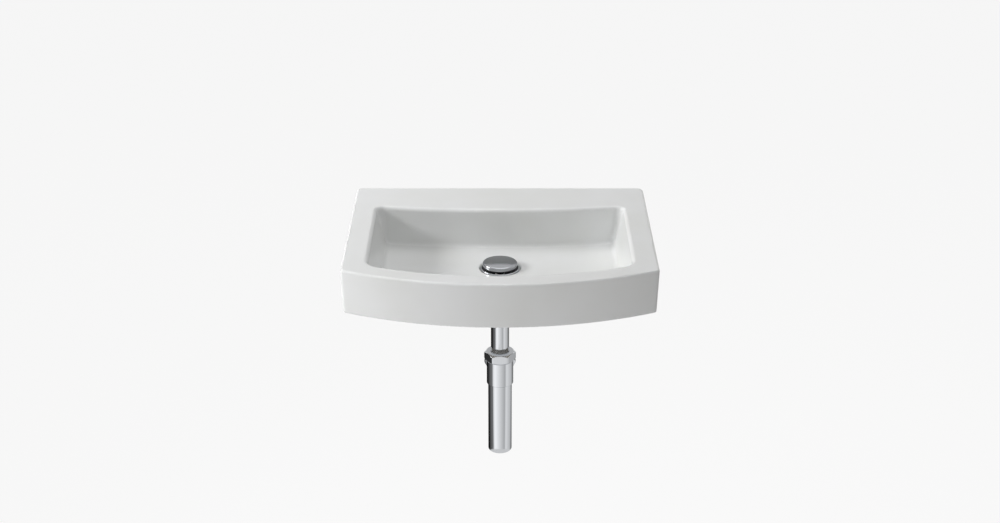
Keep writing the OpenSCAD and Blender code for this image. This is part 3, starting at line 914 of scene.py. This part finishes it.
    def drain(self) -> Iterable[list[Vector]]:
        """Goes down the recess that the waste sits in, and into its hole.

        Returns:
            The surface's rings, in that order.
        """
        for c, s in reversed(quarter(6)):
            radius = self.recess + self.flare * (1 - c)
            yield self.circle(radius, self.lip_height - self.flare * (1 - s))
        seat = self.recess_seat
        for radius, z in (
            (self.recess, seat + 1.0), (self.recess - 0.3, seat + 0.3), (self.recess - 1.0, seat),
            (self.hole + 1.0, seat), (self.hole + 0.2, seat - 0.3), (self.hole, seat - 1.0),
        ):
            yield self.circle(radius, z)

    def underside(self) -> Iterable[list[Vector]]:
        """Goes from the hole over the boss and the belly to the inside of the foot.

        Returns:
            The surface's rings, in that order.
        """
        low = -self.boss_drop
        for radius, z in (
            (self.hole, low + 0.8), (self.hole + 0.8, low), (self.boss - 1.8, low),
            (self.boss, low + 1.8), (self.boss, self.belly_gap - HOLD),
            (self.boss + 0.5, self.belly_gap - 0.5), (self.boss + HOLD, self.belly_gap),
        ):
            yield self.circle(radius, z)
        near = self.circle(self.boss + HOLD, self.belly_gap)
        far = self.bowl_ring(self.belly_gap, self.fillet)
        for t in (0.1, 0.3, 0.5, 0.7, 0.88, 0.97):
            yield [a.lerp(b, t) for a, b in zip(near, far, strict=True)]
        rise = self.floor + self.fillet - self.belly_gap
        for c, s in quarter(10):
            z = self.belly_gap + rise * (1 - c)
            inset = self.fillet - (self.fillet + self.bowl_wall) * s
            yield self.bowl_ring(z, inset)
        roof = self.height - self.rim
        cove = 3.0
        for z in (40.0, roof - cove - 1.0):
            yield self.bowl_ring(z, -self.bowl_wall)
        for c, s in quarter(4):
            z = roof - cove * (1 - s)
            yield self.bowl_ring(z, -self.bowl_wall - cove * (1 - c))
        corner = self.hollow_corner
        for c, s in reversed(quarter(6)):
            z = roof - corner * (1 - s)
            yield self.skirt_ring(z, self.skirt + corner * (1 - c))
        for z in (40.0, 20.0, HOLD):
            yield self.skirt_ring(z, self.skirt)
        yield self.skirt_ring(0.4, self.skirt - 0.4)
        yield self.skirt_ring(0.0, self.skirt - HOLD)

    def build(self) -> None:
        """Draws the whole casting as one closed surface, glazed outside and bare underneath."""
        rings = iter([*self.outside(), *self.inside(), *self.drain()])
        loft = Loft(next(rings))
        for ring in rings:
            loft.to(ring, 0)
        for ring in self.underside():
            loft.to(ring, 1)
        settle("basin_shell", loft.close(1), [GLAZE, BARE], replaces=["basin_body"], crease=80.0)


@dataclass
class Waste:
    """The push-to-close waste: dish flange, threaded tail, cross, plug and cartridge."""

    flange: float = 33.3
    flange_top: float = 8.0
    flange_under: float = 1.0
    flange_edge: float = 0.9
    dish: float = 31.2
    dish_edge: float = 1.6
    dish_lip: float = 0.6
    dish_floor: float = 2.5
    spigot: float = 22.4
    funnel: float = 22.0
    funnel_height: float = 4.2
    tail: float = 20.95
    tail_bore: float = 18.0
    tail_end: float = -62.0
    thread_pitch: float = 2.309
    thread_depth: float = 0.75
    thread_top: float = -17.0
    cross_bottom: float = -36.9
    cross_height: float = 8.0
    cross_hub: float = 11.5
    cross_bore: float = 8.05
    arm_width: float = 4.0
    plug: float = 30.0
    plug_under: float = 11.4
    plug_height: float = 8.5
    plug_crown: float = 1.8
    plug_edge: float = 3.0
    plug_lip: float = 0.9
    hub: float = 9.0
    hub_bottom: float = 6.4
    socket: float = 6.5
    spindle: float = 4.0

    def shell(self) -> None:
        """Turns the flange, its funnel and the tail down to its thread."""
        root = self.tail - self.thread_depth
        edge, foot, lip = self.flange_edge, self.dish_edge, self.dish_lip
        profile = [
            *arc((self.flange - edge, self.flange_top - edge), edge, 90, 0, 5),
            (self.flange, self.flange_under), (self.spigot, self.flange_under),
            (self.tail, self.flange_under - 2.9), (self.tail, self.thread_top + 0.8),
            (root, self.thread_top), (root, self.tail_end + 0.6), (root - 0.6, self.tail_end),
            (self.tail_bore, self.tail_end), (self.tail_bore, self.dish_floor - self.funnel_height),
            (self.funnel, self.dish_floor),
            *arc((self.dish - foot, self.dish_floor + foot), foot, -90, 0, 5),
            *arc((self.dish + lip, self.flange_top - lip), lip, 180, 90, 4),
        ]
        bm = turned(profile, 0.15, FINE_STEPS)
        # Faces whose middle lies within the dish's edge and above the tail's end get the darkened
        # chrome, as painted shade under the plug.
        for face in bm.faces:
            middle = face.calc_center_median()
            inside = middle.xy.length < self.dish + 0.1 and middle.z > self.tail_end
            face.material_index = int(inside)
        settle("waste_shell", bm, [CHROME, SHADED_DISH_CHROME], replaces=["waste_body"])

    def thread(self) -> None:
        """Draws the tail's pipe thread: one ridge along a helix, with its ends closed."""
        bm = bmesh.new()
        sunk, crest, steps_a_turn = 0.05, 0.16, 48
        root, half = self.tail - self.thread_depth - sunk, self.thread_pitch * 0.46
        start, top = self.tail_end + 0.7 + half, self.tail - 0.02
        corners = [(root, -half), (top, -crest), (top, crest), (root, half)]
        verts = [bm.verts.new((r, 0.0, start + z)) for r, z in corners]
        face = bm.faces.new(verts)
        turns = (self.thread_top - 0.4 - half - start) / self.thread_pitch
        steps = round(turns * steps_a_turn)
        bmesh.ops.spin(
            bm, geom=[*verts, *face.edges, face], cent=(0, 0, 0), axis=(0, 0, 1),
            dvec=(0, 0, self.thread_pitch * turns / steps), angle=math.tau * turns, steps=steps,
            use_merge=False, use_duplicate=False,
        )
        bmesh.ops.holes_fill(bm, edges=bm.edges, sides=4)
        bmesh.ops.remove_doubles(bm, verts=bm.verts, dist=SAME_MM)
        bmesh.ops.recalc_face_normals(bm, faces=bm.faces)
        settle("waste_tail_thread", bm, [CHROME])

    def cross(self) -> None:
        """Draws the four arms and the threaded hub that carry the cartridge."""
        low, high = self.cross_bottom, self.cross_bottom + self.cross_height
        profile = [
            (self.cross_bore, low), (self.cross_hub, low), (self.cross_hub, high),
            (self.cross_bore, high),
        ]
        settle("waste_cross_hub", turned(profile, 0.4), [CHROME])
        bm = bmesh.new()
        sunk = 0.6
        reach = self.tail_bore + 0.4 - self.cross_hub + sunk
        middle = self.cross_hub - sunk + reach / 2
        arm_height = self.cross_height - 2.0
        for arm in range(4):
            place = (
                Matrix.Rotation(math.radians(90 * arm), 4, "Z")
                @ Matrix.Translation((middle, 0.0, low + arm_height / 2))
                @ Matrix.Diagonal((reach, self.arm_width, arm_height, 1.0))
            )
            bmesh.ops.create_cube(bm, size=1.0, matrix=place)
        bmesh.ops.bevel(
            bm, geom=bm.edges[:], offset=0.6, segments=2, profile=0.5, affect="EDGES", material=-1
        )
        settle("waste_cross_arms", bm, [CHROME])

    def cap(self) -> None:
        """Turns the domed plug, with its rounded rim and the hub that takes the spindle."""
        crown, radius = self.plug_crown, self.plug
        dome = (radius * radius + crown * crown) / (2 * crown)
        centre = self.plug_under + self.plug_height - dome
        inner = radius - self.plug_edge
        rise = math.sqrt((dome - self.plug_edge) ** 2 - inner * inner)
        join = math.degrees(math.atan2(rise, inner))
        lip, socket = self.plug_lip, self.hub_bottom + self.socket
        profile = [
            (self.spindle, self.hub_bottom), (self.hub, self.hub_bottom),
            (self.hub, self.plug_under), (radius - lip, self.plug_under),
            *arc((radius - lip, self.plug_under + lip), lip, -70, 0, 4),
            *arc((inner, centre + rise), self.plug_edge, 0, join, 8),
            *arc((0.0, centre), dome, join, 90, 14)[1:-1],
            (0.0, centre + dome),
            (0.0, socket), (self.spindle, socket),
        ]
        bm = turned(profile, 0.0, FINE_STEPS)
        settle("plug_dome", bm, [DARKENED_PLUG_CHROME], PLUG, ["plug_cap"])

    def build(self) -> None:
        """Draws the pieces that show and finishes those that keep their shape."""
        self.shell()
        self.thread()
        self.cross()
        self.cap()
        dress("flange_seal", RUBBER)
        dress("plug_seal", RUBBER)
        dress("plug_spindle", BROWNED_SHADED_BRASS)
        dress("cartridge_barrel", ACETAL)
        dress("cartridge_collar", CHROME)
        dress("cartridge_rotor", ACETAL)
        dress("cartridge_spring", SPRING_WIRE)


@dataclass
class HexNut:
    """A hexagon nut, drawn about its own axis, with chamfered ends and a stepped bore."""

    name: str
    node: str
    flats: float
    low: float
    high: float
    bore: Sequence[Point]
    finish: Finish
    seat: Seat | None = None
    corner_cut: float = 0.35
    face_cut: float = 0.6
    segments: int = STEPS

    def outline(self, cone: float, z: float) -> list[Vector]:
        """Gives a hexagon ring whose corners are cut back.

        Args:
            cone: The radius that they are cut back to.
            z: The ring's height.

        Returns:
            The ring's points.
        """
        ring = []
        for k in range(self.segments):
            a = math.tau * k / self.segments
            off = (a + math.pi / 6) % (math.pi / 3) - math.pi / 6
            radius = min(self.flats / 2 / math.cos(off - math.copysign(math.pi / 6, off)), cone)
            ring.append(Vector((radius * math.cos(a), radius * math.sin(a), z)))
        return ring

    def build(self) -> None:
        """Draws the nut ring by ring: outside, far end, bore and near end."""
        corner = self.flats / math.sqrt(3)
        blunt, face = corner - self.corner_cut, self.flats / 2 - self.face_cut
        drop = (corner - face) * math.tan(math.radians(30))
        steps = 7
        cone = [face + (blunt - face) * k / steps for k in range(steps + 1)]
        rise = [drop * k / steps for k in range(steps + 1)]
        loft = Loft(self.outline(cone[0], self.low))
        for radius, z in zip(cone[1:], rise[1:], strict=True):
            loft.to(self.outline(radius, self.low + z))
        for radius, z in reversed(list(zip(cone, rise, strict=True))):
            loft.to(self.outline(radius, self.high - z))
        step = math.tau / self.segments
        turns = [Matrix.Rotation(step * k, 3, "Z") for k in range(self.segments)]
        for radius, z in self.bore:
            loft.to([turn @ Vector((radius, 0.0, z)) for turn in turns])
        bm = loft.close()
        settle(self.name, bm, [self.finish], replaces=[self.node], seat=self.seat, crease=22.0)


@dataclass
class Trap:
    """The slim bottle trap: nuts, inlet tube, head, cup, outlet pipe and wall rosette."""

    tube: float = 16.0
    tube_bore: float = 14.8
    slip: float = 0.2
    chamfer: float = 0.8
    collar: float = 20.65
    collar_top: float = -64.5
    collar_bottom: float = -67.0
    inlet_end: float = -170.0
    thread: float = 21.0
    union_low: float = -70.0
    union_high: float = -48.0
    nut_flats: float = 49.0
    nut_height: float = 16.0
    nut_lip: float = 3.0
    seal_rise: float = 3.0
    backnut_flats: float = 56.0
    backnut_low: float = -26.5
    backnut_high: float = -16.5
    head_top: float = -158.0
    cup: float = 21.0
    cup_top: float = -207.0
    cup_low: float = -348.0
    cup_edge: float = 3.0
    cup_inner_edge: float = 1.8
    cup_wall: float = 1.2
    cup_floor: float = 2.0
    outlet: float = -190.0
    boss_end: float = 40.5
    pipe_start: float = 28.7
    pipe_end: float = 327.0
    wall: float = 297.0
    rosette: float = 36.0
    rosette_height: float = 13.0

    def nuts(self) -> None:
        """Draws the backnut of the waste and the three nuts of the trap."""
        thread, cut, through = self.thread, self.chamfer, self.tube + self.slip
        low, high = self.backnut_low, self.backnut_high
        bore = [
            (thread + cut, high), (thread, high - cut), (thread, low + cut), (thread + cut, low),
        ]
        HexNut("waste_backnut", "backnut", self.backnut_flats, low, high, bore, BRASS).build()
        low, high = self.union_low, self.union_high
        lip = low + self.nut_lip
        bore = [
            (thread + cut, high), (thread, high - cut), (thread, lip), (through, lip),
            (through, low),
        ]
        HexNut("tail_union_nut", "union_nut", self.nut_flats, low, high, bore, CHROME).build()
        high = self.seal_rise + self.nut_lip
        low = high - self.nut_height
        loose = thread + 0.05
        bore = [
            (through + 0.4, high), (through, high - 0.4), (through, self.seal_rise),
            (loose, self.seal_rise), (loose, low + cut), (loose + cut, low),
        ]
        inlet = Seat(Axis.UP, (0.0, 0.0, self.head_top))
        outlet = Seat(Axis.OUTLET, (0.0, self.boss_end, self.outlet))
        for name, node, seat in (
            ("head_compression_nut", "head_nut", inlet),
            ("outlet_compression_nut", "outlet_nut", outlet),
        ):
            HexNut(name, node, self.nut_flats, low, high, bore, CHROME, seat).build()

    def tubes(self) -> None:
        """Turns the inlet tube, the cup and the outlet pipe."""
        inlet = [
            (self.tube_bore, self.inlet_end), (self.tube, self.inlet_end),
            (self.tube, self.collar_bottom), (self.collar, self.collar_bottom),
            (self.collar, self.collar_top), (self.tube_bore, self.collar_top),
        ]
        settle("inlet_drop_tube", turned(inlet, 0.3), [CHROME], replaces=["inlet_tube"])
        inner = self.cup - self.cup_wall
        edge, low, foot = self.cup_edge, self.cup_low, self.cup_inner_edge
        floor = low + self.cup_floor
        cup = [
            (0.0, low), *arc((self.cup - edge, low + edge), edge, -90, 0, 8),
            (self.cup, self.cup_top), (inner, self.cup_top),
            *arc((inner - foot, floor + foot), foot, 0, -90, 4), (0.0, floor),
        ]
        settle("bottle_cup", turned(cup, 0.15, FINE_STEPS), [CHROME], replaces=["trap_cup"])
        # A shallow groove marks where the wall's face is.
        near, far, groove = self.wall - 1.0, self.wall + 1.0, self.tube - 0.3
        pipe = [
            (self.tube_bore, self.pipe_start), (self.tube, self.pipe_start),
            (self.tube, near), (groove, near), (groove, far),
            (self.tube, far), (self.tube, self.pipe_end - 1.0),
            (self.tube - 0.5, self.pipe_end), (self.tube_bore, self.pipe_end),
        ]
        seat = Seat(Axis.OUTLET, (0.0, 0.0, self.outlet))
        bm = turned(pipe, 0.12)
        settle("outlet_wall_pipe", bm, [PIPE_CHROME], replaces=["outlet_pipe"], seat=seat)

    def rosette_cover(self) -> None:
        """Turns the domed cover at the wall, a pressed shell with a rolled foot."""
        bore, neck, shell, edge, foot = self.tube + 0.3, 2.0, 1.5, 1.0, 3.0
        wide = self.rosette - edge - bore - neck
        high = self.rosette_height
        outer = [(bore + neck + wide * c, -shell - (high - shell) * s) for c, s in quarter(12)]
        inner = [
            (bore + neck + (wide - foot) * c, -shell - (high - 2 * shell) * s)
            for c, s in reversed(quarter(12))
        ]
        profile = [
            (self.rosette, 0.0), (self.rosette, -shell), *outer,
            (bore, -high), (bore, shell - high), *inner, (self.rosette - edge - foot, 0.0),
        ]
        seat = Seat(Axis.OUTLET, (0.0, self.wall, self.outlet))
        bm = turned(profile, 0.3, FINE_STEPS)
        settle("wall_cover", bm, [CHROME], replaces=["wall_rosette"], seat=seat)

    def build(self) -> None:
        """Draws the pieces that show and finishes those that keep their shape."""
        self.nuts()
        self.tubes()
        self.rosette_cover()
        dress("trap_head", CHROME)
        for node in ("underside_gasket", "union_washer", "head_seal", "outlet_seal", "cup_seal"):
            dress(node, RUBBER)
        for node in ("slip_washer", "head_slip_ring", "outlet_slip_ring", "dip_tube"):
            dress(node, ACETAL)


@dataclass
class Studio:
    """A plain pale floor, soft lamps, reflection cards and the camera, with sizes in metres."""

    camera_at: tuple[float, float, float] = (0.0, -2.7929, 1.2039)
    pitch: float = 22.99
    lens: float = 63.23
    floor_z: float = -0.82
    floor_tone: str = "#ecebea"
    white_share: float = 0.9
    world: float = 0.22
    tent_radius: float = 0.45
    tent_heights: Point = (-0.62, -0.22)
    tent_level: float = 1.5
    # Shares of a turn, from the left by way of the front, and the cloth's tone there.
    tent_tones: tuple[tuple[float, str], ...] = (
        (0.0, "#727272"), (0.055, "#707070"), (0.085, "#e8e8e8"), (0.13, "#ffffff"),
        (0.25, "#dadada"), (0.37, "#aeaeae"), (0.41, "#e2e2e2"), (0.5, "#cacaca"),
        (0.555, "#bebebe"), (0.61, "#828282"), (0.75, "#2c2c2c"), (0.84, "#060606"),
        (0.91, "#1a1a1a"), (0.965, "#565656"),
    )

    def camera(self) -> None:
        """Places the camera as it stood for the photograph."""
        data = bpy.data.cameras.new("view")
        data.lens = self.lens
        data.sensor_width = 36.0
        data.clip_end = 60.0
        eye = linked("view", data)
        eye.location = self.camera_at
        eye.rotation_euler = (math.radians(90 - self.pitch), 0.0, 0.0)
        bpy.context.scene.camera = eye

    def seen_white(self, tree: NodeTree) -> NodeSocket:
        """Tells the rays that look from those that light.

        Args:
            tree: The node tree that asks.

        Returns:
            1 for rays from the camera, from mirrors and through glass, and 0 for others.
        """
        path = add(tree, "LightPath").outputs
        seen = add(tree, "Math", {0: path["Is Camera Ray"], 1: path["Is Glossy Ray"]})
        seen = add(tree, "Math", {0: seen.outputs[0], 1: path["Is Transmission Ray"]})
        return seen.outputs[0]

    @staticmethod
    def stand(name: str, bm: BMesh, paint: Material, mirrored: bool = False) -> None:
        """Makes a piece of the stage of a mesh in metres, and frees the bmesh.

        Args:
            name: The piece's name.
            bm: The mesh.
            paint: Its material.
            mirrored: Hides it from every ray but those that a mirror sends out.
        """
        made = drawn(name, bm)
        made.data.materials.append(paint)
        if mirrored:
            made.visible_camera = made.visible_diffuse = made.visible_shadow = False
            made.visible_transmission = made.visible_volume_scatter = False

    def paper(self) -> Material:
        """Makes the floor's pale paper, seen as nearly white from above and clear from below.

        Returns:
            The paper's material.
        """
        made = node_material("pale_paper")
        tree = made.node_tree
        shares = {0: self.seen_white(tree), 1: self.white_share}
        share = add(tree, "Math", shares, operation="MULTIPLY").outputs[0]
        lit = add(tree, "BsdfDiffuse", {"Color": linear(self.floor_tone)})
        white = add(tree, "Emission", {"Color": (1.0, 1.0, 1.0, 1.0), "Strength": 1.0})
        shown = add(tree, "MixShader", {0: share, 1: lit.outputs[0], 2: white.outputs[0]})
        under = add(tree, "NewGeometry").outputs["Backfacing"]
        clear = add(tree, "BsdfTransparent")
        sheet = {0: under, 1: shown.outputs[0], 2: clear.outputs[0]}
        add(tree, "OutputMaterial", {"Surface": add(tree, "MixShader", sheet).outputs[0]})
        return made

    def tent(self) -> None:
        """Stands a light tent round the trap that only mirrors see, as metal is photographed.

        It is dark on the left and behind, brightest in front on the left, and greyer to the right.
        """
        made = node_material("tent_cloth")
        tree = made.node_tree
        place = add(tree, "TexCoord").outputs["Object"]
        turn = add(tree, "TexGradient", {"Vector": place}, gradient_type="RADIAL").outputs["Fac"]
        cloth = add(tree, "ValToRGB", {"Fac": turn})
        stops = cloth.color_ramp.elements
        for at, tone in self.tent_tones:
            stop = stops.new(at)
            stop.color = linear(tone)
        stops.remove(stops[0])
        stops.remove(stops[-1])
        glow = {"Color": cloth.outputs["Color"], "Strength": self.tent_level}
        add(tree, "OutputMaterial", {"Surface": add(tree, "Emission", glow).outputs[0]})
        low, high = self.tent_heights
        bm = bmesh.new()
        bmesh.ops.create_cone(
            bm, cap_ends=False, segments=STEPS, radius1=self.tent_radius, radius2=self.tent_radius,
            depth=high - low, matrix=Matrix.Translation((0.0, 0.0, (low + high) / 2)),
        )
        self.stand("light_tent", bm, made, mirrored=True)

    def card(
        self, name: str, tone: str, level: float, middle: Sequence[float], size: Point
    ) -> None:
        """Hangs an upright card across the view that only mirrors see.

        Args:
            name: The card's name.
            tone: Its colour.
            level: How bright it is lit.
            middle: Where its middle is.
            size: Its width and height.
        """
        felt = node_material(name)
        tint = add(felt.node_tree, "Emission", {"Color": linear(tone), "Strength": level})
        add(felt.node_tree, "OutputMaterial", {"Surface": tint.outputs[0]})
        bm = bmesh.new()
        place = (
            Matrix.Translation(middle)
            @ Matrix.Rotation(math.radians(90), 4, "X")
            @ Matrix.Diagonal((size[0] / 2, size[1] / 2, 1.0, 1.0))
        )
        bmesh.ops.create_grid(bm, x_segments=1, y_segments=1, size=1.0, matrix=place)
        self.stand(name, bm, felt, mirrored=True)

    def lamp(
        self, name: str, at: Sequence[float], size: Point, watts: float, spread: float = 180.0
    ) -> Object:
        """Hangs a soft rectangular lamp that faces the drain.

        Args:
            name: The lamp's name.
            at: Where it hangs.
            size: Its width and height.
            watts: Its power.
            spread: The angle of its beam in degrees, narrow where it has a grid before it.

        Returns:
            The lamp.
        """
        data = bpy.data.lights.new(name, "AREA")
        data.shape = "RECTANGLE"
        data.size, data.size_y = size
        data.energy = watts
        data.spread = math.radians(spread)
        lamp = linked(name, data)
        lamp.location = at
        lamp.visible_camera = False
        lamp.rotation_euler = (-Vector(at)).to_track_quat("-Z", "Y").to_euler()
        return lamp

    def light(self) -> None:
        """Lights the basin from the left and from above, in a plain pale surround."""
        surround = bpy.data.worlds.new("surround")
        surround.use_nodes = True
        tree = surround.node_tree
        tree.nodes.clear()
        level = add(tree, "MapRange", {0: self.seen_white(tree), "To Min": self.world})
        pale = {"Color": (1.0, 1.0, 1.0, 1.0), "Strength": level.outputs[0]}
        add(tree, "OutputWorld", {"Surface": add(tree, "Background", pale).outputs[0]})
        bpy.context.scene.world = surround
        self.lamp("side_softbox", (-2.07, 0.0, 1.01), (1.0, 0.45), 5.2, 70.0)
        self.lamp("top_softbox", (0.3, 0.0, 2.3), (2.0, 2.0), 12.0)
        self.lamp("rear_softbox", (-0.2, 1.13, 1.99), (1.5, 1.0), 8.0)
        # Mirrored in the glaze, this one would bleach the basin's left side.
        fill = self.lamp("low_fill", (-1.25, -1.9, -0.25), (1.2, 0.9), 4.6, 90.0)
        fill.visible_glossy = False

    def build(self) -> None:
        """Sets up the view, the floor, the cards and the light."""
        bpy.context.scene.view_settings.view_transform = "Standard"
        self.camera()
        bm = bmesh.new()
        level = Matrix.Translation((0.0, 0.0, self.floor_z))
        bmesh.ops.create_grid(bm, x_segments=1, y_segments=1, size=14.0, matrix=level)
        self.stand("floor", bm, self.paper())
        self.tent()
        # The plug's dome mirrors these two.
        self.card("grey_card_behind", "#d4d4d4", 1.0, (0.0, 3.2, 1.15), (4.4, 1.4))
        self.card("white_card_behind", "#ffffff", 1.0, (0.0, 3.2, 2.65), (4.4, 1.6))
        self.light()


def main() -> None:
    """Builds the basin, its waste and its trap, and the studio around them."""
    logging.basicConfig(level=logging.INFO, format="%(name)s: %(message)s")
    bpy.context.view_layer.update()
    for part in (Basin(), Waste(), Trap(), Studio()):
        LOG.info("building %s", type(part).__name__)
        part.build()


if __name__ == "__main__":
    main()
